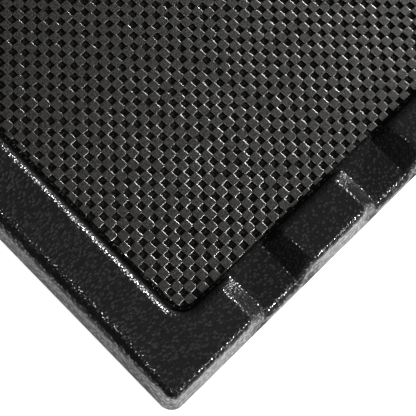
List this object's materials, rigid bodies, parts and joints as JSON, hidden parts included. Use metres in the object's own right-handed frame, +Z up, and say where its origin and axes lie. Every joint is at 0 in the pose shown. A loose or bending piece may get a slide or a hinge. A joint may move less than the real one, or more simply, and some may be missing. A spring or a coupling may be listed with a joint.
{
  "type": "door mat",
  "caption": "Rectangular tray door mat: raised rounded rim with drain notches along the long sides, a lift-out rubber sheet with a checker tread, and grip pads underneath.",
  "frame": {"origin": "on the floor, under the middle of the mat", "axes": "+X along the notched long sides, +Y across the mat, +Z up from the floor"},
  "size_m": [0.7146, 0.4526, 0.02],
  "materials": {
    "tray_plastic": "black, satin, fine haircell grain",
    "sheet_rubber": "black, dull, fine grit, checker of raised and sunk squares",
    "pad_rubber": "black, dull"
  },
  "bodies": {
    "tray": {"tray": "tray_plastic", "grip_pad_1": "pad_rubber", "grip_pad_2": "pad_rubber", "grip_pad_3": "pad_rubber", "grip_pad_4": "pad_rubber", "grip_pad_5": "pad_rubber", "grip_pad_6": "pad_rubber"},
    "scraper_sheet": {"scraper_sheet": "sheet_rubber"}
  },
  "joints": [
    {"name": "sheet_lift", "type": "slide", "parent": "tray", "child": "scraper_sheet", "axis": [0, 0, 1], "range_m": [0, 0.02]}
  ]
}
